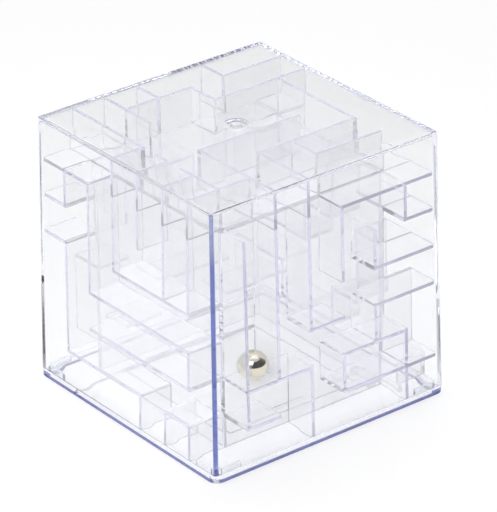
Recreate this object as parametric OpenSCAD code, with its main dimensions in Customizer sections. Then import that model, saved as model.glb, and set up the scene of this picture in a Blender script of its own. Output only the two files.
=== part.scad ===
// Clear plastic tilt maze: a steel ball runs in a maze of ribs that surrounds a
// locked box. Origin at the centre of the resting face, +Z up, front towards -Y.

/* [Cover] */
// Overall height, resting face to top of the cover
total_h = 95.1; // [94:0.1:98]
// Width of the cover at its lower edge
cover_low_w = 95.1; // [94.5:0.1:95.5]
// Width of the cover at its top
cover_top_w = 92.0; // [91.5:0.1:93]
// Wall thickness of the cover
cover_wall = 1.5; // [1.2:0.1:1.6]
// Radius of the cover's upright edges
cover_edge_r = 1.0; // [0.8:0.1:1.3]
// Radius of the round moulding gate in the roof
gate_r = 3.7; // [2:0.1:5]

/* [Base] */
// Width of the base flange
base_w = 96.2; // [96:0.1:98]
// Thickness of the base flange
base_h = 2.1; // [2:0.1:2.4]
// Corner radius of the base flange
base_r = 3.4; // [3:0.1:5]
// Width of the foot rim that touches the table
foot_w = 3.4; // [2:0.1:5]
// Depth of the recess inside the foot rim
foot_h = 1.0; // [0.8:0.1:1.1]
// Half width of the hatch opening
hatch_half = 26.3; // [25.8:0.1:26.4]

/* [Maze] */
// Distance between neighbouring grid lines of the maze
pitch = 13.34; // [13.2:0.01:13.4]
// Thickness of the maze ribs
wall_t = 1.2; // [1:0.1:1.3]
// Thickness of the panels round the locked box
panel_t = 1.5; // [1.2:0.1:1.6]
// Gap between the ribs and the inside of the cover
tip_gap = 0.15; // [0.1:0.05:0.2]

/* [Ball and latch] */
// Diameter of the steel ball
ball_d = 10; // [9:0.1:10.2]
// Diameter of the hinge pin
pin_d = 1.0; // [0.8:0.1:1]
// Clearance between moving pieces
play = 0.3; // [0.2:0.05:0.3]

/* [Hidden] */
$fn = 64;

clear = [0.88, 0.90, 0.94, 0.35];
clear_tint = [0.80, 0.83, 0.92, 0.45];
steel = [0.75, 0.75, 0.77];

slab = 0.01;                       // thin layer that a hull starts or ends with
box_half = 2.5 * pitch;            // outer half width of the locked box
deck_z = 80.8;                     // top of the locked box
roof_z = total_h - cover_wall;     // underside of the cover's roof

// Half width of the cover's outside, and of the ribs' tips, at height z.
function half_out(z) =
    (cover_low_w - (cover_low_w - cover_top_w) * (z - base_h) / (total_h - base_h)) / 2;
function tip(z) = half_out(z) - cover_wall - tip_gap;

// Grid lines 1 to 6 across the maze, and levels 1 to 6 up it. 0 and 7 are the
// outer limits. The outermost ribs stand flush with the faces of the locked box.
function line(k) = (k - 3.5) * pitch;
function low(k) = k == 1 ? -box_half : k == 6 ? box_half - wall_t : line(k) - wall_t / 2;
function high(k) = low(k) + wall_t;
function level(k) = deck_z - (6 - k) * pitch;
function level_low(k) = k == 6 ? deck_z - wall_t : level(k) - wall_t / 2;
function level_high(k) = level_low(k) + wall_t;

// True when a rib in the list runs along line a and reaches line b.
function met(ribs, a, b) =
    len([for (r = ribs) if (r[0] == a && r[1] <= b && r[2] >= b) 1]) > 0;

// Each row is [line or level, from, to], read left to right and bottom to top
// as seen from outside that face. On the top, left is -X and bottom is -Y.
front_rows = [[6, 4, 7], [5, 6, 7], [4, 5, 7], [3, 3, 4], [3, 5, 7], [2, 1, 3],
              [2, 4, 6], [1, 1, 2], [1, 4, 7]];
front_posts = [[1, 1, 2], [1, 2, 6], [2, 2, 6], [3, 3, 6], [3, 0, 2], [4, 4, 6], [4, 1, 2],
               [5, 4, 5], [5, 2, 3], [6, 5, 6], [6, 1, 2], [6, 0, 1]];
left_rows = [[6, 1, 2], [4, 3, 6], [3, 2, 6], [2, 2, 6], [1, 1, 4], [1, 5, 6]];
left_posts = [[1, 5, 6], [1, 1, 4], [2, 3, 6], [3, 4, 6], [4, 5, 6], [4, 0, 1],
              [5, 4, 6], [5, 0, 1], [6, 4, 6], [6, 2, 3], [6, 0, 1]];
right_rows = [[6, 1, 2], [5, 1, 2], [4, 1, 2], [5, 4, 5], [4, 3, 4], [3, 4, 6],
              [2, 2, 3], [2, 5, 6], [1, 3, 5], [6, 5, 6]];
right_posts = [[1, 1, 3], [2, 2, 4], [3, 4, 6], [3, 1, 2], [4, 3, 4], [5, 5, 6],
               [5, 1, 2], [6, 3, 5]];
back_rows = [[6, 5, 7], [5, 6, 7], [4, 6, 7], [3, 5, 6], [5, 3, 4], [4, 2, 3],
             [3, 0, 2], [2, 2, 4], [1, 4, 5], [1, 0, 2], [5, 0, 1]];
back_posts = [[6, 1, 3], [5, 4, 6], [4, 5, 6], [3, 3, 4], [3, 4, 5], [2, 4, 6], [1, 3, 5],
              [1, 1, 2]];
top_cross = [[6, 2, 4], [6, 5, 7], [5, 4, 7], [4, 0, 1], [3, 0, 1], [3, 2, 5],
             [2, 0, 1], [2, 3, 6], [1, 0, 2], [1, 4, 6]];
top_long = [[1, 4, 7], [2, 5, 6], [2, 6, 7], [3, 6, 7], [4, 5, 6], [5, 6, 7],
            [6, 2, 5], [1, 1, 2], [2, 0, 1], [2, 1, 3], [3, 0, 2], [4, 1, 2],
            [1, 3, 3.5], [1, 2, 2.5]];

hatch_t = base_h - foot_h;         // thickness of the hatch and the base floor
hinge_y = 27.6;
hinge_z = 1.1;
knuckle_r = 0.95;
knuckle_x = 16;                    // half length of the hatch's knuckle
bar_w = 3;                         // width of the latch bar
bar_h = 1;
bar_z = base_h + 0.2;
bar_y = -30.4;                     // front edge of the bar, unlocked
latch_travel = 4;
nose_x = 20;
hook_x = 20.4;
hook_y = -25.6;
hook_w = 4;
hook_reach = 2.5;                  // how far the hook reaches over the bar
keeper_x = 27.4;
keeper_w = 3.2;
tab_x = 34.3;                      // left edge of the ball tab
tab_right = 45.3;
tab_y = -40.2;
tab_z = 4.4;
tab_top = 12.1;
ball_x = (high(1) + low(2)) / 2;
ball_y = -40.2;
ball_z = level_high(2) + ball_d / 2 + 0.05;

// Square with round corners, centred, made of squares and circles.
module round_square(w, r) {
    square([w, w - 2 * r], center = true);
    square([w - 2 * r, w], center = true);
    for (x = [-1, 1], y = [-1, 1])
        translate([x * (w / 2 - r), y * (w / 2 - r)]) circle(r, $fn = 32);
}

// Block that narrows from width w0 at z0 to w1 at z1, with round upright edges.
module draft_block(w0, w1, r, z0, z1) {
    hull() {
        translate([0, 0, z0]) linear_extrude(slab) round_square(w0, r);
        translate([0, 0, z1 - slab]) linear_extrude(slab) round_square(w1, r);
    }
}

module cover() {
    nub_h = 0.35;
    gate_depth = 0.55;
    crown = 0.45;                  // height of the eased top edge
    color(clear) difference() {
        union() {
            draft_block(cover_low_w, cover_top_w, cover_edge_r, base_h, total_h - crown);
            draft_block(cover_top_w, cover_top_w - crown, cover_edge_r,
                        total_h - crown - slab, total_h);
        }
        draft_block(cover_low_w - 2 * cover_wall, cover_top_w - 2 * cover_wall,
                    cover_edge_r - 0.6, base_h - slab, roof_z);
        translate([0, 0, total_h - gate_depth]) difference() {
            cylinder(r = gate_r, h = 1);
            translate([0, 0, -slab]) cylinder(r = gate_r / 4, h = nub_h);
        }
    }
}

// Low L-shaped rib that locates one corner of the cover.
module corner_rib() {
    out = half_out(base_h) - cover_wall - 0.2;
    reach = 9.5;
    rib = 1.2;
    ease = 1.6;
    rib_h = 2;
    translate([0, 0, base_h - slab]) linear_extrude(rib_h)
        polygon([[out, out - reach], [out, out - ease], [out - ease, out],
                 [out - reach, out], [out - reach, out - rib],
                 [out - ease - rib / 2, out - rib], [out - rib, out - ease - rib / 2],
                 [out - rib, out - reach]]);
}

module base_plate() {
    opening_y = 28.95;             // rear edge of the hatch opening
    color(clear_tint) difference() {
        union() {
            difference() {
                linear_extrude(base_h) round_square(base_w, base_r);
                translate([0, 0, -slab]) linear_extrude(foot_h + slab)
                    round_square(base_w - 2 * foot_w, base_r - 2);
                translate([-hatch_half, -hatch_half, -1])
                    cube([2 * hatch_half, hatch_half + opening_y, base_h + 2]);
            }
            for (a = [0 : 90 : 270]) rotate([0, 0, a]) corner_rib();
            for (side = [-1, 1])
                translate([side * (knuckle_x + play + hatch_half) / 2, hinge_y, 0]) {
                    length = hatch_half - knuckle_x - play;
                    translate([-length / 2, 0, hinge_z]) rotate([0, 90, 0])
                        cylinder(r = knuckle_r, h = length);
                    translate([-length / 2, 0, foot_h])
                        cube([length, opening_y - hinge_y + slab, hatch_t]);
                }
        }
        translate([-base_w / 2, hinge_y, hinge_z]) rotate([0, 90, 0])
            cylinder(d = pin_d, h = base_w / 2 + hatch_half);
    }
}

module hatch() {
    edge = hatch_half - play;
    color(clear_tint) difference() {
        union() {
            translate([-edge, -edge, foot_h]) cube([2 * edge, 2 * edge, hatch_t]);
            translate([-knuckle_x, 0, foot_h])
                cube([2 * knuckle_x, hinge_y, hatch_t - 0.1]);
            translate([-knuckle_x, hinge_y, hinge_z]) rotate([0, 90, 0])
                cylinder(r = knuckle_r, h = 2 * knuckle_x);
            translate([hook_x, hook_y, base_h - slab]) difference() {
                cube([hook_w, hook_reach + 1.2, 2.7]);
                translate([-1, -1, -1]) cube([hook_w + 2, hook_reach + 1, 2.5]);
            }
        }
        translate([-knuckle_x - 1, hinge_y, hinge_z]) rotate([0, 90, 0])
            cylinder(d = pin_d + 0.1, h = 2 * knuckle_x + 2);
        translate([-8, -23, foot_h - slab]) cube([16, 1.5, 0.5]);
    }
}

module hinge_pin() {
    color(steel) translate([-26, hinge_y, hinge_z]) rotate([0, 90, 0])
        cylinder(d = pin_d, h = 52);
}

module latch_slide() {
    foot_w = 1.7;
    tab_t = 1.2;
    side_back = -31;
    color(clear_tint) {
        translate([nose_x, bar_y, bar_z])
            cube([tab_x + foot_w - nose_x, bar_w, bar_h]);
        translate([tab_x, tab_y, bar_z])
            cube([foot_w, bar_y + bar_w - tab_y, bar_h]);
        translate([tab_x, tab_y, bar_z]) cube([foot_w, tab_t, tab_top - bar_z]);
        translate([tab_x, tab_y, tab_z])
            cube([tab_right - tab_x, tab_t, tab_top - tab_z]);
        translate([tab_right - tab_t, tab_y, tab_z])
            cube([tab_t, side_back - tab_y, tab_top - tab_z]);
    }
}

module latch_keeper() {
    front = -31.75;
    back = -22.1;
    leg = 1;
    bridge_z = bar_z + bar_h + play;
    bridge_t = 1;
    color(clear_tint) translate([keeper_x, 0, 0]) {
        translate([0, front, bridge_z]) cube([keeper_w, back - front, bridge_t]);
        translate([0, front, base_h]) cube([keeper_w, leg, bridge_z - base_h + slab]);
        translate([0, back - leg, base_h])
            cube([keeper_w, leg, bridge_z - base_h + slab]);
    }
}

module steel_ball() {
    color(steel) translate([ball_x, ball_y, ball_z]) sphere(d = ball_d);
}

module top_panel() {
    color(clear_tint) translate([-box_half, -box_half, deck_z - panel_t])
        cube([2 * box_half, 2 * box_half, panel_t]);
}

// Upright panel of the locked box on the -Y side, of the given half width.
module side_panel(half) {
    translate([-half, -box_half, base_h])
        cube([2 * half, panel_t, deck_z - panel_t - base_h]);
}

module front_panel() {
    color(clear_tint) side_panel(box_half);
}

module back_panel() {
    color(clear_tint) rotate([0, 0, 180]) side_panel(box_half);
}

module left_panel() {
    color(clear_tint) rotate([0, 0, -90]) side_panel(box_half - panel_t);
}

// The right panel has a slot at its foot that the latch bar slides in.
module right_panel() {
    slot_front = bar_y - 0.4;
    slot_len = bar_w + latch_travel + 0.8;
    color(clear_tint) difference() {
        rotate([0, 0, 90]) side_panel(box_half - panel_t);
        translate([box_half - 2 * panel_t, slot_front, base_h - 1])
            cube([3 * panel_t, slot_len, 1 + bar_z - base_h + bar_h + play]);
    }
}

// Shelves of one side: flat ribs from the panel out to the cover. Where a shelf
// runs into a corner of the cover its own corner is cut off.
module shelves(rows) {
    cut = 0.7;
    for (r = rows) {
        z = level_high(r[0]);
        out = tip(z);
        x0 = r[1] == 0 ? -out : low(r[1]);
        x1 = r[2] == 7 ? out : high(r[2]);
        cut0 = r[1] == 0 ? cut : 0;
        cut1 = r[2] == 7 ? cut : 0;
        translate([0, 0, z - wall_t]) linear_extrude(wall_t)
            polygon([[x0, -box_half], [x0, -out + cut0], [x0 + cut0, -out],
                     [x1 - cut1, -out], [x1, -out + cut1], [x1, -box_half]]);
    }
}

// Uprights of one side: ribs across the face whose outer edge follows the cover.
module uprights(posts, rows) {
    for (p = posts) {
        z0 = p[1] == 0 ? base_h
           : met(rows, p[1], p[0]) ? level_high(p[1]) : level_low(p[1]);
        z1 = met(rows, p[2], p[0]) ? level_low(p[2]) : level_high(p[2]);
        translate([low(p[0]), 0, 0]) rotate([90, 0, 90]) linear_extrude(wall_t)
            polygon([[-box_half, z0], [-tip(z0), z0], [-tip(z1), z1], [-box_half, z1]]);
    }
}

// Rib on the top of the locked box, along X from x0 to x1. An end at the outer
// limit follows the cover.
module top_rib(x0, x1) {
    z1 = roof_z - tip_gap;
    translate([0, wall_t, 0]) rotate([90, 0, 0]) linear_extrude(wall_t)
        polygon([[x0 == "tip" ? -tip(deck_z) : x0, deck_z],
                 [x1 == "tip" ? tip(deck_z) : x1, deck_z],
                 [x1 == "tip" ? tip(z1) : x1, z1],
                 [x0 == "tip" ? -tip(z1) : x0, z1]]);
}

module top_cross_ribs() {
    color(clear_tint) for (r = top_cross)
        translate([0, low(r[0]), 0])
            top_rib(r[1] == 0 ? "tip" : low(r[1]), r[2] == 7 ? "tip" : high(r[2]));
}

// Ribs along Y. They stop at the faces of the cross ribs that they meet.
module top_long_ribs() {
    color(clear_tint) for (r = top_long) {
        y0 = r[1] == 0 ? "tip" : met(top_cross, r[1], r[0]) ? high(r[1]) : low(r[1]);
        y1 = r[2] == 7 ? "tip" : met(top_cross, r[2], r[0]) ? low(r[2]) : high(r[2]);
        translate([high(r[0]), 0, 0]) rotate([0, 0, 90]) top_rib(y0, y1);
    }
}

module front_shelves() {
    color(clear_tint) shelves(front_rows);
}

module front_uprights() {
    color(clear_tint) uprights(front_posts, front_rows);
}

module back_shelves() {
    color(clear_tint) rotate([0, 0, 180]) shelves(back_rows);
}

module back_uprights() {
    color(clear_tint) rotate([0, 0, 180]) uprights(back_posts, back_rows);
}

module left_shelves() {
    color(clear_tint) rotate([0, 0, -90]) shelves(left_rows);
}

module left_uprights() {
    color(clear_tint) rotate([0, 0, -90]) uprights(left_posts, left_rows);
}

module right_shelves() {
    color(clear_tint) rotate([0, 0, 90]) shelves(right_rows);
}

module right_uprights() {
    color(clear_tint) rotate([0, 0, 90]) uprights(right_posts, right_rows);
}

cover();
base_plate();
top_panel();
front_panel();
back_panel();
left_panel();
right_panel();
top_cross_ribs();
top_long_ribs();
front_shelves();
front_uprights();
back_shelves();
back_uprights();
left_shelves();
left_uprights();
right_shelves();
right_uprights();
hatch();
hinge_pin();
latch_slide();
latch_keeper();
steel_ball();
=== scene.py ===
import bpy
import bmesh
import numpy as np
from mathutils import Matrix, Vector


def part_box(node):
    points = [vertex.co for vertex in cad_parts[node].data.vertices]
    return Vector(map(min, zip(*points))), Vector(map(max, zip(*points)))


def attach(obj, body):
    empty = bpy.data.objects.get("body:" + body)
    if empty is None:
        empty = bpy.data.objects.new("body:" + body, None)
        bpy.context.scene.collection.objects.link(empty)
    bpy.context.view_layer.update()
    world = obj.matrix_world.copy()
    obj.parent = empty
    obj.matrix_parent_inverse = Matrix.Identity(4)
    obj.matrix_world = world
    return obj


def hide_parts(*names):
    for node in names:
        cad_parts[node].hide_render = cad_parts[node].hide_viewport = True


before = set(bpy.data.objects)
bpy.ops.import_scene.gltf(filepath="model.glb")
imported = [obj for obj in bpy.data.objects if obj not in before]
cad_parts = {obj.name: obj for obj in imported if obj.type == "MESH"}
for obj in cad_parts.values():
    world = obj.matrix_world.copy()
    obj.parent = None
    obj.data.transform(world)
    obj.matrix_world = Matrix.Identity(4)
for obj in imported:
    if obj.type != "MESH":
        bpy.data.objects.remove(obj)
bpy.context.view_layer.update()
mm = 0.001

# sizes that several pieces share, in millimetres
cube = {
    "height": 95.1,
    "baseHeight": 2.1,
    "coverLow": 95.1,      # width of the cover at its foot
    "coverTop": 92.0,      # and at its top
    "wall": 1.5,
    "seat": 0.03,          # air under the foot of the cover
    "tipGap": 0.15,        # air between the ribs and the cover
    "pitch": 13.34,        # maze grid
    "rib": 1.2,
    "panel": 1.5,
    "deck": 80.8,          # top of the inner box
}
boxHalf = 2.5 * cube["pitch"]
roofUnder = cube["height"] - cube["wall"]

# how meshes are merged and their edges eased
meshing = {
    "sharp": 30,           # degrees at an edge from which it is eased
    "flat": 0.5,           # degrees below which two faces become one
    "merge": 0.00001,      # metres within which two points become one
}


def halfOut(z):
    # straight taper of the cover from its foot to its top
    rise = (z - cube["baseHeight"]) / (cube["height"] - cube["baseHeight"])
    return (cube["coverLow"] - (cube["coverLow"] - cube["coverTop"]) * rise) / 2


def tipAt(z):
    # how far out the ribs reach at a height
    return halfOut(z) - cube["wall"] - cube["tipGap"]


def placePiece(name, mesh, body, material, replaced):
    # a mesh made a piece: the body it rides on, and the solids it stands for
    mesh.materials.clear()
    mesh.materials.append(material)
    piece = bpy.data.objects.new(name, mesh)
    bpy.context.collection.objects.link(piece)
    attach(piece, body)
    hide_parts(*replaced)
    return piece


def addPiece(name, verts, faces, body, material, replaced, smooth=True):
    # a piece from points in millimetres
    mesh = bpy.data.meshes.new(name)
    mesh.from_pydata((np.asarray(verts) * mm).tolist(), [], faces)
    mesh.update()
    mesh.polygons.foreach_set("use_smooth", np.full(len(mesh.polygons), smooth))
    return placePiece(name, mesh, body, material, replaced)


def gridFaces(rings, count):
    # quads between neighbouring closed rings of points
    i, j = np.meshgrid(np.arange(rings - 1), np.arange(count), indexing="ij")
    here = i * count + j
    beside = i * count + (j + 1) % count
    return np.stack([here, beside, beside + count, here + count], -1).reshape(-1, 4).tolist()


def capFaces(ring, pole, count, turned=False):
    # triangles from a closed ring of points, which starts at the given number, to its pole
    j = np.arange(count)
    here, beside = ring + j, ring + (j + 1) % count
    if turned:
        here, beside = beside, here
    return np.stack([here, beside, np.full(count, pole)], -1).tolist()


def latheVerts(profile, count):
    # each profile point (r, z) turned round the Z axis
    t = np.linspace(0, 2 * np.pi, count, endpoint=False)
    r, z = profile[:, :1], profile[:, 1:]
    return np.stack([r * np.cos(t), r * np.sin(t), z + 0 * t], -1).reshape(-1, 3)


def roundSquare(half, radius, perCorner, perSide):
    # four quarter arcs of the given radius, joined by straight sides
    arcs = []
    for k in range(4):
        turn = k * np.pi / 2
        t = turn + np.linspace(0, np.pi / 2, perCorner)
        centre = (half - radius) * np.array([
            np.cos(turn) - np.sin(turn), np.sin(turn) + np.cos(turn)])
        arcs.append(centre + radius * np.stack([np.cos(t), np.sin(t)], -1))
    s = np.linspace(0, 1, perSide + 2)[1:-1, None]
    out = []
    for arc, following in zip(arcs, arcs[1:] + arcs[:1]):
        out += [arc, arc[-1] * (1 - s) + following[0] * s]
    return np.concatenate(out)


def finishEdges(piece, width, segments):
    # rounds the sharp edges; the width is in millimetres
    edge = piece.modifiers.new("softEdges", "BEVEL")
    edge.width = width * mm
    edge.segments = segments
    edge.limit_method = "ANGLE"
    edge.angle_limit = np.radians(meshing["sharp"])
    edge.harden_normals = True
    edge.miter_outer = "MITER_ARC"


def mergeFlat(mesh):
    # one face for each flat area, so that a bevel meets only real edges
    work = bmesh.new()
    work.from_mesh(mesh)
    bmesh.ops.remove_doubles(work, verts=work.verts, dist=meshing["merge"])
    bmesh.ops.dissolve_limit(work, angle_limit=np.radians(meshing["flat"]), verts=work.verts,
                             edges=work.edges, delimit={"NORMAL"})
    bmesh.ops.recalc_face_normals(work, faces=work.faces)
    work.to_mesh(mesh)
    work.free()


def newGroup(name, values, results):
    # a shader node group that reads a position and some numbers
    tree = bpy.data.node_groups.new(name, "ShaderNodeTree")
    socket = tree.interface.new_socket
    socket(name="Position", in_out="INPUT", socket_type="NodeSocketVector")
    for label, start in values.items():
        made = socket(name=label, in_out="INPUT", socket_type="NodeSocketFloat")
        made.default_value = start
    for label in results:
        socket(name=label, in_out="OUTPUT", socket_type="NodeSocketFloat")
    return tree, tree.nodes.new("NodeGroupInput"), tree.nodes.new("NodeGroupOutput")


def node(tree, kind, values=(), **settings):
    # a new node with its settings, and plain values on its sockets
    made = tree.nodes.new(kind)
    for key, value in settings.items():
        setattr(made, key, value)
    for key, value in dict(values).items():
        made.inputs[key].default_value = value
    return made


def feed(tree, term, socket):
    # a number is set on the socket, and an output is linked to it
    if isinstance(term, float):
        socket.default_value = term
    else:
        tree.links.new(term, socket)


def math(tree, operation, *terms):
    # one sum, fed by numbers or outputs
    made = node(tree, "ShaderNodeMath", operation=operation)
    for k, term in enumerate(terms):
        feed(tree, term, made.inputs[k])
    return made.outputs[0]


def rampOf(tree, value, start, full):
    # 0 at the start and 1 where it is full, with a smooth rise between
    made = node(tree, "ShaderNodeMapRange", interpolation_type="SMOOTHSTEP")
    feed(tree, value, made.inputs["Value"])
    feed(tree, start, made.inputs["From Min"])
    feed(tree, full, made.inputs["From Max"])
    return made.outputs["Result"]


# a Mix node keeps its colour sockets at these places
colorSocket = {"first": 6, "second": 7, "result": 2}


def blendColors(tree, first, second, share):
    # the first colour where the share is 0, and the second where it is 1
    blend = node(tree, "ShaderNodeMix", {
        colorSocket["first"]: (*first, 1), colorSocket["second"]: (*second, 1)},
        data_type="RGBA")
    tree.links.new(share, blend.inputs[0])
    return blend.outputs[colorSocket["result"]]


def sizesOf(tree, position):
    # distance from the middle along X and along Y, and the height
    parts = node(tree, "ShaderNodeSeparateXYZ")
    tree.links.new(position, parts.inputs[0])
    x, y = (math(tree, "ABSOLUTE", parts.outputs[axis]) for axis in ("X", "Y"))
    return x, y, parts.outputs["Z"]


# the sockets of the skin, and what a material calls their values
skinSockets = {"Wave Size": "waveSize", "Scratch Size": "scratchSize",
               "Base Roughness": "roughness", "Scratch Roughness": "scratch"}
skinPattern = {
    "waves": {"Detail": 1.0, "Roughness": 0.4},
    "hairs": {"Detail": 2.0, "Roughness": 0.6},
    "hairCourse": {"Scale": (1.0, 1.0, 0.05), "Rotation": (0.5, 0.9, 0.3)},
    "hairLevels": (0.70, 0.78),      # of the noise, where a scratch starts and is full
}


def buildMouldedSkin():
    # polish that is never quite even: slow waves from the mould, and hair scratches
    tree, source, result = newGroup("mouldedSkin", dict.fromkeys(skinSockets, 0.0),
                                    ["Roughness", "Height"])
    link = tree.links.new
    given = source.outputs
    waves = node(tree, "ShaderNodeTexNoise", skinPattern["waves"])
    link(given["Position"], waves.inputs["Vector"])
    link(given["Wave Size"], waves.inputs["Scale"])
    stretch = node(tree, "ShaderNodeMapping", skinPattern["hairCourse"])
    link(given["Position"], stretch.inputs["Vector"])
    hair = node(tree, "ShaderNodeTexNoise", skinPattern["hairs"])
    link(stretch.outputs["Vector"], hair.inputs["Vector"])
    link(given["Scratch Size"], hair.inputs["Scale"])
    thin = rampOf(tree, hair.outputs["Fac"], *skinPattern["hairLevels"])
    amount = math(tree, "MULTIPLY_ADD", thin, given["Scratch Roughness"],
                  given["Base Roughness"])
    link(amount, result.inputs["Roughness"])
    link(waves.outputs["Fac"], result.inputs["Height"])
    return tree


mouldedSkin = buildMouldedSkin()

# where the flange's painted shade starts and is full, outwards and downwards, in metres
rimPlace = {"Start": 0.0474, "Full": 0.0479, "Top": 0.0017, "Under": 0.0009}


def buildRimMask():
    # 1 on the lower part of the flange's edge, where the plate is looked into endways and a
    # dark blue shade is painted on
    tree, source, result = newGroup("rimMask", rimPlace, ["Mask"])
    given = source.outputs
    x, y, z = sizesOf(tree, given["Position"])
    side = rampOf(tree, math(tree, "MAXIMUM", x, y), given["Start"], given["Full"])
    low = rampOf(tree, z, given["Top"], given["Under"])
    tree.links.new(math(tree, "MULTIPLY", side, low), result.inputs["Mask"])
    return tree


# the ribs' outer edges and the inner box's corners, which get a painted lilac shade, in
# metres; Taper is the cover's slope and Corner Share the strength of the mask along the
# corners
tipPlace = {"Taper": 0.01667, "Tip": 0.0459, "Top": 0.09345, "Corner": 0.03335,
            "Corner Slack": 0.0001, "Corner Share": 0.7, "Width": 0.0003}


def buildTipMask():
    # 1 on the outer edges of the ribs and along the corners of the inner box, which are
    # looked into endways too and get a painted lilac shade; the ribs follow the taper of the
    # cover
    tree, source, result = newGroup("tipMask", tipPlace, ["Mask"])
    given = source.outputs
    x, y, z = sizesOf(tree, given["Position"])

    def near(value, target):
        # falls from 1 to 0 within one width below the target
        short = math(tree, "DIVIDE", math(tree, "SUBTRACT", target, value), given["Width"])
        held = math(tree, "MINIMUM", math(tree, "MAXIMUM", short, 0.0), 1.0)
        return math(tree, "SUBTRACT", 1.0, held)

    widest, least = math(tree, "MAXIMUM", x, y), math(tree, "MINIMUM", x, y)
    straight = math(tree, "MULTIPLY_ADD", z, given["Taper"], widest)
    tips = math(tree, "MAXIMUM", near(straight, given["Tip"]), near(z, given["Top"]))
    edge = math(tree, "ADD", given["Corner"], given["Corner Slack"])
    corner = math(tree, "MULTIPLY", near(least, given["Corner"]),
                  math(tree, "LESS_THAN", widest, edge))
    corner = math(tree, "MULTIPLY", corner, given["Corner Share"])
    tree.links.new(math(tree, "MAXIMUM", tips, corner), result.inputs["Mask"])
    return tree


maskGroups = {"rim": buildRimMask(), "tips": buildTipMask()}


def newMaterial(name):
    mat = bpy.data.materials.new(name)
    mat.use_nodes = True
    mat.node_tree.nodes.clear()
    return mat, mat.node_tree


def addSkin(tree, look):
    # the uneven polish, placed by the piece's own coordinates
    place = node(tree, "ShaderNodeTexCoord").outputs["Object"]
    skin = node(tree, "ShaderNodeGroup", node_tree=mouldedSkin)
    for label, key in skinSockets.items():
        skin.inputs[label].default_value = look[key]
    tree.links.new(place, skin.inputs["Position"])
    return place, skin


def milky(tree, shader, look):
    # a faint haze where light enters; none from within, so that the edges keep their glow
    haze = node(tree, "ShaderNodeBsdfDiffuse", {"Color": (*look["hazeColor"], 1)})
    facing = node(tree, "ShaderNodeNewGeometry")
    share = node(tree, "ShaderNodeMapRange", {"To Min": look["haze"], "To Max": 0.0})
    tree.links.new(facing.outputs["Backfacing"], share.inputs["Value"])
    blend = node(tree, "ShaderNodeMixShader")
    tree.links.new(share.outputs["Result"], blend.inputs[0])
    tree.links.new(shader, blend.inputs[1])
    tree.links.new(haze.outputs[0], blend.inputs[2])
    return blend.outputs[0]


def paintedEdgeShade(tree, place, look):
    # the plain tint, and a painted edge shade where the mask says that a way through is long
    if look["paintedShadeMask"] in maskGroups:
        mask = node(tree, "ShaderNodeGroup", node_tree=maskGroups[look["paintedShadeMask"]])
        tree.links.new(place, mask.inputs["Position"])
        share = mask.outputs["Mask"]
    else:
        mask = node(tree, "ShaderNodeAttribute", attribute_name=look["paintedShadeMask"])
        share = mask.outputs["Fac"]
    return blendColors(tree, look["tint"], look["paintedShadeColor"], share)


def clearPlastic(name, look):
    # glass-like styrene; lamps pass through it, so that it throws no black shadow
    mat, tree = newMaterial(name)
    link = tree.links.new
    place, skin = addSkin(tree, look)
    bump = node(tree, "ShaderNodeBump",
                {"Strength": look["bump"], "Distance": look["bumpDepth"]})
    link(skin.outputs["Height"], bump.inputs["Height"])
    shader = node(tree, "ShaderNodeBsdfPrincipled", {
        "Base Color": (*look["tint"], 1), "IOR": look["ior"],
        "Transmission Weight": look["clarity"],
        "Specular Tint": (*[look["mirror"]] * 3, 1)})
    # the painted edge shade, on the pieces whose look has a mask for it
    if look["paintedShadeMask"]:
        link(paintedEdgeShade(tree, place, look), shader.inputs["Base Color"])
    link(skin.outputs["Roughness"], shader.inputs["Roughness"])
    link(bump.outputs["Normal"], shader.inputs["Normal"])
    solid = shader.outputs[0]
    if look["haze"]:
        solid = milky(tree, solid, look)
    passing = node(tree, "ShaderNodeBsdfTransparent", {"Color": (*look["shadow"], 1)})
    path = node(tree, "ShaderNodeLightPath")
    mix = node(tree, "ShaderNodeMixShader")
    link(path.outputs["Is Shadow Ray"], mix.inputs[0])
    link(solid, mix.inputs[1])
    link(passing.outputs[0], mix.inputs[2])
    inside = node(tree, "ShaderNodeVolumeAbsorption",
                  {"Color": (*look["depthTint"], 1), "Density": look["density"]})
    out = node(tree, "ShaderNodeOutputMaterial")
    link(mix.outputs[0], out.inputs["Surface"])
    link(inside.outputs[0], out.inputs["Volume"])
    return mat


styrene = {
    "ior": 1.57, "tint": (0.975, 0.980, 0.976), "shadow": (0.994, 0.994, 0.996),
    "depthTint": (0.42, 0.44, 0.76), "density": 8.0, "clarity": 1.0, "mirror": 1.0,
    "haze": 0.0, "hazeColor": (0.93, 0.93, 0.95), "paintedShadeMask": None,
    "waveSize": 60.0, "scratchSize": 900.0, "roughness": 0.0, "scratch": 0.08,
    "bump": 0.15, "bumpDepth": 0.0002,
}
# the cover, the base and the ribs get a painted edge shade: blue on the cover's front corner
# and back lip, dark blue on the base's flange, lilac on the ribs' tips and the inner box's
# corners
coverClear = clearPlastic("clearCover", dict(
    styrene, mirror=0.35, density=1.5, scratch=0.01, bump=0.02,
    tint=(0.945, 0.950, 0.952), paintedShadeMask="paintedEdgeShade", paintedShadeColor=(0.015, 0.055, 0.42)))
baseClear = clearPlastic("clearBase", dict(
    styrene, density=30.0, clarity=0.97, paintedShadeMask="rim", paintedShadeColor=(0.06, 0.07, 0.32)))
mazeClear = clearPlastic("clearMaze", dict(
    styrene, waveSize=90.0, scratch=0.04, haze=0.22, density=3.0,
    tint=(0.958, 0.960, 0.968), paintedShadeMask="tips", paintedShadeColor=(0.70, 0.67, 0.97)))
hatchClear = clearPlastic("clearHatch", dict(styrene, waveSize=75.0))


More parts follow.
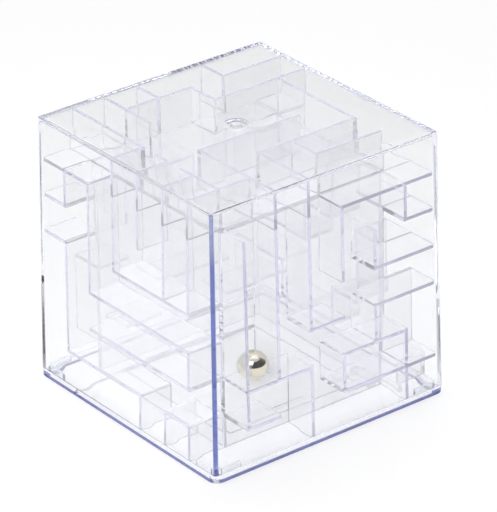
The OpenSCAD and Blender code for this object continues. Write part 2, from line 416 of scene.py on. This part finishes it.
def polishedSteel(name, look):
    # metal whose tone wanders slowly between a light and a dark one
    mat, tree = newMaterial(name)
    link = tree.links.new
    skin = addSkin(tree, look)[1]
    tone = node(tree, "ShaderNodeValToRGB")
    tone.color_ramp.elements[0].color = (*look["light"], 1)
    tone.color_ramp.elements[1].color = (*look["dark"], 1)
    link(skin.outputs["Height"], tone.inputs["Fac"])
    shader = node(tree, "ShaderNodeBsdfPrincipled", {"Metallic": 1.0})
    link(tone.outputs["Color"], shader.inputs["Base Color"])
    link(skin.outputs["Roughness"], shader.inputs["Roughness"])
    out = node(tree, "ShaderNodeOutputMaterial")
    link(shader.outputs[0], out.inputs["Surface"])
    return mat


ballSteel = polishedSteel("ballSteel", {
    "light": (0.88, 0.83, 0.70), "dark": (0.80, 0.74, 0.60), "waveSize": 220.0,
    "scratchSize": 1800.0, "roughness": 0.01, "scratch": 0.10})
pinSteel = polishedSteel("pinSteel", {
    "light": (0.62, 0.62, 0.62), "dark": (0.48, 0.47, 0.46), "waveSize": 900.0,
    "scratchSize": 2400.0, "roughness": 0.16, "scratch": 0.25})
print("materials ready")


cover = {
    "edgeRadius": 1.0,     # upright edges outside
    "innerRadius": 0.35,   # and inside
    "flare": 0.1,          # more of that radius at the foot
    "topRadius": 0.6,
    "roofFillet": 0.3,     # inside, where the walls meet the roof
    "footHeight": 0.3,     # the foot's edges are eased over this height,
    "footOuter": 0.22,     # by this much outside
    "footInner": 0.15,     # and inside
    "perCorner": 15,       # points
    "perSide": 8,
    "wallRings": (9, 8),   # outside and inside
    "lowRing": 6,          # the first of them above the foot, and inside below the roof too
    "highRing": 4,         # the last of them below the rounding of the top
    "roundRings": 9,
    "filletRings": 6,
    "flatShares": (0.93, 0.8, 0.6, 0.4, 0.25),   # rings that lead in over the top
    "roofRadii": (3, 8, 16),         # rings under the roof, first round ones
    "roofReach": 44.4,               # and then square ones, as shares of this half width
    "roofShares": (0.5, 0.75, 0.92),
    "guide": (10, 2),      # a square's half width and radius, whose points space a circle's
    "gateRadius": 3.7,
    "gateMiddle": 0.2,     # depth in the middle of the gate mark
    # the gate mark's profile: distance out from its rim, and depth
    "gate": ((0.5, 0), (0.12, 0.02), (0.0, 0.12), (-0.12, 0.7225), (-0.35, 0.85),
             (-1.5, 0.85), (-1.75, 0.7225), (-1.95, 0.255), (-2.3, 0.17)),
}
# painted edge shade of the cover: blue up its upright corners, full only at the left front
# one, and a thin line along the top at the back
coverEdgeShade = {
    "corners": (0.05, 0.05, 1.0, 0.05),   # right back, left back, left front, right front
    "middle": 0.82,        # share in the middle of a corner's arc, more towards its ends
    "rise": 1.5,           # power of that rise
    "outside": 0.92,       # shares on the outer and the inner wall
    "inside": 1.0,
    "lip": 0.7,
    "lipRings": (3, 4, 5, 6),   # of those that round the top
    "lipFrom": 44,         # the lip gets the painted shade from here on backwards
}


def coverRings():
    # rings of a rounded square follow the outer wall up, the top in to the gate mark, and
    # then the inner roof out and the inner wall down; each has its shares of the corner's
    # painted shade and of the lip's
    low, high = cube["baseHeight"], cube["height"]
    n, m = cover["perCorner"], cover["perSide"]
    guide = roundSquare(*cover["guide"], n, m)
    angle = np.arctan2(guide[:, 1], guide[:, 0])
    circle = np.stack([np.cos(angle), np.sin(angle)], -1)
    rings, shares = [], []

    def ring(flat, z, corner=0.0, lip=0.0):
        rings.append(np.column_stack([flat, np.full(len(flat), z)]))
        shares.append((corner, lip))

    def square(half, radius, z, **share):
        ring(roundSquare(half, radius, n, m), z, **share)

    edge, top, foot = cover["edgeRadius"], cover["topRadius"], cover["footHeight"]
    for t in (0.0, 0.5, 1.0):
        square(halfOut(low + foot * t) - cover["footOuter"] * (1 - t) ** 2, edge,
               low + cube["seat"] + foot * t)
    for z in np.linspace(low + cover["lowRing"], high - top - cover["highRing"],
                         cover["wallRings"][0]):
        square(halfOut(z), edge, z, corner=coverEdgeShade["outside"])
    for k, t in enumerate(np.linspace(0, np.pi / 2, cover["roundRings"])):
        square(halfOut(high - top) - top * (1 - np.cos(t)), edge, high - top + top * np.sin(t),
               corner=0.0 if k else coverEdgeShade["outside"],
               lip=coverEdgeShade["lip"] if k in coverEdgeShade["lipRings"] else 0.0)
    halfTop = cube["coverTop"] / 2
    for s in cover["flatShares"]:
        w = (1 - s) ** 2
        ring(roundSquare(halfTop * s, edge, n, m) * (1 - w) + circle * halfTop * s * w, high)
    for out, depth in cover["gate"]:
        ring(circle * (cover["gateRadius"] + out), high - depth)
    outerCount = len(rings)

    wall, radius, fillet = cube["wall"], cover["innerRadius"], cover["roofFillet"]
    for reach in cover["roofRadii"]:
        ring(circle * reach, roofUnder)
    for s in cover["roofShares"]:
        square(cover["roofReach"] * s, radius, roofUnder)
    for t in np.linspace(np.pi / 2, 0, cover["filletRings"]):
        square(halfOut(roofUnder) - wall - fillet * (1 - np.cos(t)), radius,
               roofUnder - fillet * (1 - np.sin(t)))
    for k, z in enumerate(np.linspace(roofUnder - cover["lowRing"], low + cover["lowRing"],
                                      cover["wallRings"][1])):
        square(halfOut(z) - wall, radius, z, corner=coverEdgeShade["inside"] if k else 0.0)
    for t in (1.0, 0.5, 0.0):
        square(halfOut(low + foot * t) - wall + cover["footInner"] * (1 - t) ** 2,
               radius + cover["flare"], low + cube["seat"] + foot * t,
               corner=coverEdgeShade["inside"])
    return rings, np.array(shares), outerCount


def cornerShare():
    # the painted shade along a ring: on the arcs of the upright corners it stands for the blue
    # that a long way through the plastic gathers, and is 0 where they end and on the straight
    # sides
    s = np.abs(np.linspace(-1, 1, cover["perCorner"]))
    arc = coverEdgeShade["middle"] + (1 - coverEdgeShade["middle"]) * s ** coverEdgeShade["rise"]
    arc[[0, -1]] = 0
    quarter = np.concatenate([arc, np.zeros(cover["perSide"])])
    return np.concatenate([quarter * share for share in coverEdgeShade["corners"]])


def makeCover():
    # the rings joined into one closed shell: the outer and inner walls, the foot between
    # them, and a pole in the middle of the top and of the roof
    rings, shares, outerCount = coverRings()
    count, total = len(rings[0]), len(rings)
    points = np.concatenate(rings)
    poles = [[0, 0, cube["height"] - cover["gateMiddle"]], [0, 0, roofUnder]]
    outer, inner = gridFaces(outerCount, count), gridFaces(total - outerCount, count)
    firstInner = outerCount * count
    j = np.arange(count)
    foot, last = (j + 1) % count, (total - 1) * count
    faces = outer + (np.array(inner) + firstInner).tolist()
    faces += np.stack([last + j, last + foot, foot, j], -1).tolist()
    faces += capFaces(firstInner - count, total * count, count)
    faces += capFaces(firstInner, total * count + 1, count, True)
    piece = addPiece("clearCover", np.concatenate([points, poles]), faces, "case",
                     coverClear, ["cover"])
    # the corner's painted shade runs up the walls, and a thin line of it along the top at the
    # back
    corner = (shares[:, :1] * cornerShare()[None, :]).ravel()
    lip = np.repeat(shares[:, 1], count) * (points[:, 1] > coverEdgeShade["lipFrom"])
    tint = np.concatenate([np.maximum(corner, lip), [0, 0]])
    mark = piece.data.attributes.new("paintedEdgeShade", "FLOAT", "POINT")
    mark.data.foreach_set("value", tint.astype(np.float32))
    print("cover made,", len(faces), "faces")


makeCover()


# each row is [line or level, from, to], seen from outside that face; lines 0 and 7 are
# the ribs' tips and level 0 is the base; the turn is in degrees
maze = {
    "front": {
        "rows": [[6, 4, 7], [5, 6, 7], [4, 5, 7], [3, 3, 4], [3, 5, 7], [2, 1, 3],
                 [2, 4, 6], [1, 1, 2], [1, 4, 7]],
        "posts": [[1, 1, 2], [1, 2, 6], [2, 2, 6], [3, 3, 6], [3, 0, 2], [4, 4, 6],
                  [4, 1, 2], [5, 4, 5], [5, 2, 3], [6, 5, 6], [6, 1, 2], [6, 0, 1]],
        "turn": 0},
    "left": {
        "rows": [[6, 1, 2], [4, 3, 6], [3, 2, 6], [2, 2, 6], [1, 1, 4], [1, 5, 6]],
        "posts": [[1, 5, 6], [1, 1, 4], [2, 3, 6], [3, 4, 6], [4, 5, 6], [4, 0, 1],
                  [5, 4, 6], [5, 0, 1], [6, 4, 6], [6, 2, 3], [6, 0, 1]],
        "turn": -90},
    "right": {
        "rows": [[6, 1, 2], [5, 1, 2], [4, 1, 2], [5, 4, 5], [4, 3, 4], [3, 4, 6],
                 [2, 2, 3], [2, 5, 6], [1, 3, 5], [6, 5, 6]],
        "posts": [[1, 1, 3], [2, 2, 4], [3, 4, 6], [3, 1, 2], [4, 3, 4], [5, 5, 6],
                  [5, 1, 2], [6, 3, 5]],
        "turn": 90},
    "back": {
        "rows": [[6, 5, 7], [5, 6, 7], [4, 6, 7], [3, 5, 6], [5, 3, 4], [4, 2, 3],
                 [3, 0, 2], [2, 2, 4], [1, 4, 5], [1, 0, 2], [5, 0, 1]],
        "posts": [[6, 1, 3], [5, 4, 6], [4, 5, 6], [3, 3, 4], [3, 4, 5], [2, 4, 6],
                  [1, 3, 5], [1, 1, 2]],
        "turn": 180},
}
topMaze = {
    "cross": [[6, 2, 4], [6, 5, 7], [5, 4, 7], [4, 0, 1], [3, 0, 1], [3, 2, 5],
              [2, 0, 1], [2, 3, 6], [1, 0, 2], [1, 4, 6]],
    "along": [[1, 4, 7], [2, 5, 6], [2, 6, 7], [3, 6, 7], [4, 5, 6], [5, 6, 7],
              [6, 2, 5], [1, 1, 2], [2, 0, 1], [2, 1, 3], [3, 0, 2], [4, 1, 2],
              [1, 3, 3.5], [1, 2, 2.5]],
}
moulding = {
    "softEdge": 0.16,
    "segments": 2,
    "seam": 0.03,          # air between mouldings
    "cornerCut": 0.7,      # off the corners of the shelves
    "touch": 1e-6,         # closer than this is the same place
}
latchSlot = {"x": [-30.8, -23.0], "z": [2.0, 3.6]}   # the bar's way through the right panel
far, farCut = 99.0, 98.0   # stand for the ribs' tips until the taper is known
lineCount = 6


def gridLine(k):
    # the middle of line k, which may lie halfway between two
    return (k - (lineCount + 1) / 2) * cube["pitch"]


def lowOf(k):
    # the lower side of the rib on a line; the outer ribs end flush with the inner box
    if k == 1:
        return -boxHalf
    return boxHalf - cube["rib"] if k == lineCount else gridLine(k) - cube["rib"] / 2


def levelHigh(k):
    # the upper side of the shelf on a level; the highest ends flush with the deck
    base = cube["deck"] - (lineCount - k) * cube["pitch"]
    return base if k == lineCount else base + cube["rib"] / 2


def ribSides():
    # both sides of the rib on each line
    return [v for k in range(1, lineCount + 1) for v in (lowOf(k), lowOf(k) + cube["rib"])]


def steps(values):
    # grid coordinates in order, each once, to a ten-thousandth of a millimetre
    return np.array(sorted(set(np.round(values, 4))))


def middles(values):
    # the middle of each cell between two grid coordinates
    return (values[1:] + values[:-1]) / 2


def blockMesh(xs, ys, zs, solid):
    # the skin of a set of grid cells: a quad wherever a full cell meets an empty one
    padded = np.pad(solid, 1)
    shape = np.array(solid.shape) + 1
    quads = []
    for axis in range(3):
        other = [a for a in range(3) if a != axis]
        inner = tuple(slice(None) if a == axis else slice(1, -1) for a in range(3))
        change = np.diff(padded.astype(np.int8), axis=axis)[inner]
        for sign in (1, -1):
            at = np.argwhere(change == sign)
            corner = []
            for du, dv in ((0, 0), (1, 0), (1, 1), (0, 1)):
                p = at.copy()
                p[:, other[0]] += du
                p[:, other[1]] += dv
                corner.append(np.ravel_multi_index(p.T, shape))
            quad = np.stack(corner, -1)
            flip = (sign == 1) != (axis == 1)
            quads.append(quad[:, ::-1] if flip else quad)
    quads = np.concatenate(quads)
    points = np.stack(np.meshgrid(xs, ys, zs, indexing="ij"), -1).reshape(-1, 3)
    used, new = np.unique(quads, return_inverse=True)
    return points[used], new.reshape(quads.shape)


def toTips(points):
    # moves the stand-in coordinates out to the taper, with the corner of a shelf cut off
    tip = tipAt(points[:, 2])
    for axis in (0, 1):
        value = points[:, axis]
        sign, size = np.sign(value), np.abs(value)
        cut = np.where(size == farCut, sign * (tip - moulding["cornerCut"]), value)
        points[:, axis] = np.where(size == far, sign * tip, cut)
    return points


def addMoulding(name, points, quads, replaced):
    # a moulding with eased edges; gives back the number of its flat faces
    piece = addPiece(name, points, quads.tolist(), "case", mazeClear, replaced,
                     smooth=False)
    mergeFlat(piece.data)
    finishEdges(piece, moulding["softEdge"], moulding["segments"])
    return len(piece.data.polygons)


def sideMoulding(name, plan, halfPanel, hole=None):
    # one face of the maze with its panel, made at the front and turned to its side
    t, seam = cube["rib"], moulding["seam"]
    halfPanel -= seam
    head = cube["deck"] - cube["panel"] - seam
    xs = [-far, -farCut, -halfPanel, halfPanel, farCut, far]
    xs += [-boxHalf + seam, boxHalf - seam] + ribSides()
    zs = [cube["baseHeight"] + seam, head, cube["deck"]]
    zs += [v for k in range(1, lineCount + 1) for v in (levelHigh(k) - t, levelHigh(k))]
    if hole:
        xs += hole["x"]
        zs += hole["z"]
    xs, zs = steps(xs), steps(zs)
    foot = zs[0]
    ys = np.array([-far, -farCut, -boxHalf, -boxHalf + cube["panel"]])
    mx, mz = middles(xs), middles(zs)
    ribLayers, panelLayer = [0, 1], [2]
    solid = np.zeros((len(mx), 3, len(mz)), bool)

    def fill(x0, x1, z0, z1, layers, value=True):
        inX = (mx > x0) & (mx < x1)
        inZ = (mz > z0) & (mz < z1)
        solid[np.ix_(inX, layers, inZ)] = value

    fill(-halfPanel, halfPanel, foot, head, panelLayer)
    if hole:
        fill(*hole["x"], *hole["z"], panelLayer, False)
    for level, a, b in plan["rows"]:
        x0 = lowOf(a) if a else -far
        x1 = far if b > lineCount else lowOf(b) + t
        fill(x0, x1, levelHigh(level) - t, levelHigh(level), ribLayers)
    for line, a, b in plan["posts"]:
        z0 = levelHigh(a) - t if a else foot
        fill(lowOf(line), lowOf(line) + t, z0, levelHigh(b), ribLayers)
    points, quads = blockMesh(xs, ys, zs, solid)
    points = toTips(points)
    # the two cut corners lie on one straight bevel
    tip = tipAt(points[:, 2])
    both = ((np.abs(np.abs(points[:, 0]) - tip) < moulding["touch"])
            & (np.abs(points[:, 1] + tip) < moulding["touch"]))
    cut = moulding["cornerCut"] / 2
    points[both, 0] -= np.sign(points[both, 0]) * cut
    points[both, 1] += cut
    turn = np.radians(plan["turn"])
    c, s = np.cos(turn), np.sin(turn)
    points = points @ np.array([[c, s, 0], [-s, c, 0], [0, 0, 1]])
    made = addMoulding(name + "Maze", points, quads,
                       [name + "_panel", name + "_shelves", name + "_uprights"])
    print(name, "maze made,", made, "faces")


def topMoulding():
    # the top panel with its ribs, which run across along X and lengthways along Y
    t = cube["rib"]
    ends = [-far, far, -boxHalf, boxHalf] + ribSides()
    halfway = [gridLine(k) for row in topMaze["along"] for k in row if k != int(k)]
    xs, ys = steps(ends), steps(ends + halfway)
    zs = np.array([cube["deck"] - cube["panel"] + moulding["seam"], cube["deck"],
                   roofUnder - cube["tipGap"]])
    mx, my = middles(xs), middles(ys)
    panelLayer, ribLayer = [0], [1]
    solid = np.zeros((len(mx), len(my), 2), bool)
    solid[np.ix_(np.abs(mx) < boxHalf, np.abs(my) < boxHalf, panelLayer)] = True

    def place(k, width):
        # lines 0 and 7 stand for the ribs' tips
        if k in (0, lineCount + 1):
            return far if k else -far
        return lowOf(k) + width if k == int(k) else gridLine(k)

    def between(middle, a, b):
        return (middle > place(a, 0)) & (middle < place(b, t))

    def onLine(middle, line):
        return (middle > lowOf(line)) & (middle < lowOf(line) + t)

    for line, a, b in topMaze["cross"]:
        solid[np.ix_(between(mx, a, b), onLine(my, line), ribLayer)] = True
    for line, a, b in topMaze["along"]:
        solid[np.ix_(onLine(mx, line), between(my, a, b), ribLayer)] = True
    points, quads = blockMesh(xs, ys, zs, solid)
    made = addMoulding("topMaze", toTips(points), quads,
                       ["top_panel", "top_cross_ribs", "top_long_ribs"])
    print("top maze made,", made, "faces")


for sideName, plan in maze.items():
    wide = boxHalf if sideName in ("front", "back") else boxHalf - cube["panel"]
    sideMoulding(sideName, plan, wide, latchSlot if sideName == "right" else None)
topMoulding()


# pieces whose solids only get eased edges; the edge is in millimetres
eased = {
    "basePlate": {"source": "base_plate", "body": "case", "look": baseClear,
                  "slot": "clear_base", "edge": 0.25, "segments": 3},
    "hatchDoor": {"source": "hatch", "body": "hatch", "look": hatchClear,
                  "slot": "clear_base", "edge": 0.15, "segments": 2},
    "latchBar": {"source": "latch_slide", "body": "latch", "look": mazeClear,
                 "slot": "clear_ribs", "edge": 0.15, "segments": 2},
    "latchKeeper": {"source": "latch_keeper", "body": "case", "look": mazeClear,
                    "slot": "clear_ribs", "edge": 0.12, "segments": 2},
}


def softCopy(name, wish):
    # a merged copy of the solid, with its sharp edges eased as a mould leaves them
    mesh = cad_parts[wish["source"]].data.copy()
    mesh.name = name
    mergeFlat(mesh)
    piece = placePiece(name, mesh, wish["body"], wish["look"], [wish["source"]])
    finishEdges(piece, wish["edge"], wish["segments"])
    print(name, "made,", len(mesh.polygons), "faces")


for copyName, wish in eased.items():
    softCopy(copyName, wish)


def turnedShape(profile, poles, count):
    # a closed shape turned round Z from a profile, with a pole at each end
    rings = len(profile)
    verts = np.concatenate([latheVerts(profile, count), [[0, 0, z] for z in poles]])
    faces = gridFaces(rings, count)
    faces += capFaces(0, rings * count, count, True)
    faces += capFaces((rings - 1) * count, rings * count + 1, count)
    return verts, faces


def boxOf(name):
    # the low and high corner of a solid's box, in millimetres
    low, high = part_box(name)
    return np.array(low) / mm, np.array(high) / mm


ballLook = {"around": 96, "rows": 49}
pinLook = {
    "around": 32,
    "dome": 0.25,          # how far its ends bulge
    "domeRings": 5,
    "waist": 0.98,         # share of its radius in the middle
}


def makeBall():
    # rows of latitude between two poles
    low, high = boxOf("steel_ball")
    radius = (high[2] - low[2]) / 2
    lat = np.linspace(-np.pi / 2, np.pi / 2, ballLook["rows"])[1:-1]
    profile = np.stack([radius * np.cos(lat), radius * np.sin(lat)], -1)
    verts, faces = turnedShape(profile, (-radius, radius), ballLook["around"])
    addPiece("steelBall", verts + (low + high) / 2, faces, "ball", ballSteel,
             ["steel_ball"])


def makePin():
    # a turned rod with domed ends, laid along X
    low, high = boxOf("hinge_pin")
    radius, half = (high[2] - low[2]) / 2, (high[0] - low[0]) / 2
    t = np.linspace(0, np.pi / 2, pinLook["domeRings"] + 1)[1:]
    dome = np.stack([radius * np.sin(t), -half + pinLook["dome"] * (1 - np.cos(t))], -1)
    profile = np.concatenate([dome, [[radius * pinLook["waist"], 0]], dome[::-1] * [1, -1]])
    verts, faces = turnedShape(profile, (-half, half), pinLook["around"])
    addPiece("hingePin", verts[:, [2, 0, 1]] + (low + high) / 2, faces, "case", pinSteel,
             ["hinge_pin"])


makeBall()
makePin()
print("ball and pin made")


# in metres; the floor gives off a little light, so that clear parts don't darken it
floorLook = {"half": 20.0, "drop": 0.0002, "color": (0.62, 0.62, 0.622), "glow": 0.41,
             "roughness": 0.9, "specular": 0.1}


def makeFloor():
    # one large square just under the cube
    mesh = bpy.data.meshes.new("floor")
    h, z = floorLook["half"], -floorLook["drop"]
    mesh.from_pydata([(-h, -h, z), (h, -h, z), (h, h, z), (-h, h, z)], [], [(0, 1, 2, 3)])
    floor = bpy.data.objects.new("floor", mesh)
    bpy.context.collection.objects.link(floor)
    mat = bpy.data.materials.new("paleFloor")
    mat.use_nodes = True
    shader = mat.node_tree.nodes["Principled BSDF"]
    shader.inputs["Base Color"].default_value = (*floorLook["color"], 1)
    shader.inputs["Roughness"].default_value = floorLook["roughness"]
    shader.inputs["Specular IOR Level"].default_value = floorLook["specular"]
    shader.inputs["Emission Color"].default_value = (1, 1, 1, 1)
    shader.inputs["Emission Strength"].default_value = floorLook["glow"]
    mesh.materials.append(mat)


makeFloor()

room = {
    "pale": (0.69, 0.69, 0.70),
    "dim": (0.004, 0.004, 0.008),
    "facing": 12.0,        # degrees from -Y to the middle of the dim band
    "width": (0.14, 0.42),     # cosines where it starts and is full
    "rise": (0.0, 0.04),       # heights where it starts and is full
    "fall": (0.80, 0.70),      # and where it ends and is still full
    "strength": 1.0,
}


def makeRoom():
    # pale all round, with a dim violet band above the horizon on the front side
    world = bpy.data.worlds.new("studio")
    bpy.context.scene.world = world
    world.use_nodes = True
    tree = world.node_tree
    tree.nodes.clear()
    link = tree.links.new
    aim = node(tree, "ShaderNodeTexCoord").outputs["Generated"]
    turn = np.radians(room["facing"])
    toward = node(tree, "ShaderNodeVectorMath", {1: (np.sin(turn), -np.cos(turn), 0)},
                  operation="DOT_PRODUCT")
    link(aim, toward.inputs[0])
    split = node(tree, "ShaderNodeSeparateXYZ")
    link(aim, split.inputs[0])
    height = split.outputs["Z"]
    band = math(tree, "MULTIPLY", rampOf(tree, height, *room["rise"]),
                rampOf(tree, height, *room["fall"]))
    front = rampOf(tree, toward.outputs["Value"], *room["width"])
    shade = blendColors(tree, room["pale"], room["dim"],
                        math(tree, "MULTIPLY", band, front))
    glow = node(tree, "ShaderNodeBackground", {"Strength": room["strength"]})
    link(shade, glow.inputs["Color"])
    out = node(tree, "ShaderNodeOutputWorld")
    link(glow.outputs[0], out.inputs["Surface"])


makeRoom()


def standAt(side, up, back, place):
    # the matrix of something at a place that looks along -back
    rows = [[side[i], up[i], back[i], place[i]] for i in range(3)]
    return Matrix(rows + [[0, 0, 0, 1]])


def unit(v):
    # the same direction, one long
    return v / np.linalg.norm(v)


lamps = {
    "overhead": {"at": (0.1, 0.2, 1.1), "size": 1.2, "power": 4.0},
    "window": {"at": (-0.75, -0.45, 0.75), "size": 0.5, "power": 5.0},
}
lampAim = (0, 0, 0.045)    # the point that all lamps face
skyward = [0, 0, 1.0]


def makeLamp(name, lamp):
    # a square lamp that faces the cube
    light = bpy.data.lights.new(name, "AREA")
    light.size = lamp["size"]
    light.energy = lamp["power"]
    holder = bpy.data.objects.new(name, light)
    bpy.context.collection.objects.link(holder)
    back = unit(np.array(lamp["at"]) - np.array(lampAim))
    side = unit(np.cross(skyward, back))
    holder.matrix_world = standAt(side, np.cross(back, side), back, lamp["at"])


for lampName, lamp in lamps.items():
    makeLamp(lampName, lamp)


# angles in degrees, lens and sensor in millimetres, distance and aim height in metres
shot = {"azimuth": -37.53, "elevation": 27.35, "roll": -1.07, "distance": 1.293,
        "lens": 277.83, "sensor": 36, "shiftX": 0.0189, "shiftY": -0.0025, "aim": 0.04754,
        "near": 0.01}


def makeCamera():
    # back points from the cube to the camera, and the roll turns the camera about it
    a, e, r = (np.radians(shot[k]) for k in ("azimuth", "elevation", "roll"))
    back = np.array([np.sin(a) * np.cos(e), -np.cos(a) * np.cos(e), np.sin(e)])
    right = unit(np.cross(-back, skyward))
    up = np.cross(right, -back)
    side = right * np.cos(r) + up * np.sin(r)
    head = up * np.cos(r) - right * np.sin(r)
    data = bpy.data.cameras.new("camera")
    data.lens = shot["lens"]
    data.sensor_width = shot["sensor"]
    data.shift_x = shot["shiftX"]
    data.shift_y = shot["shiftY"]
    data.clip_start = shot["near"]
    camera = bpy.data.objects.new("camera", data)
    bpy.context.collection.objects.link(camera)
    place = np.array([0, 0, shot["aim"]]) + back * shot["distance"]
    camera.matrix_world = standAt(side, head, back, place)
    bpy.context.scene.camera = camera


makeCamera()

# light that is guided inside the clear plastic needs many bounces to come out again
lightPaths = {"max_bounces": 128, "transmission_bounces": 128, "glossy_bounces": 128,
              "diffuse_bounces": 32, "transparent_max_bounces": 64}
scene = bpy.context.scene
for key, value in lightPaths.items():
    setattr(scene.cycles, key, value)
scene.view_settings.view_transform = "Standard"
print("camera, floor and light ready")
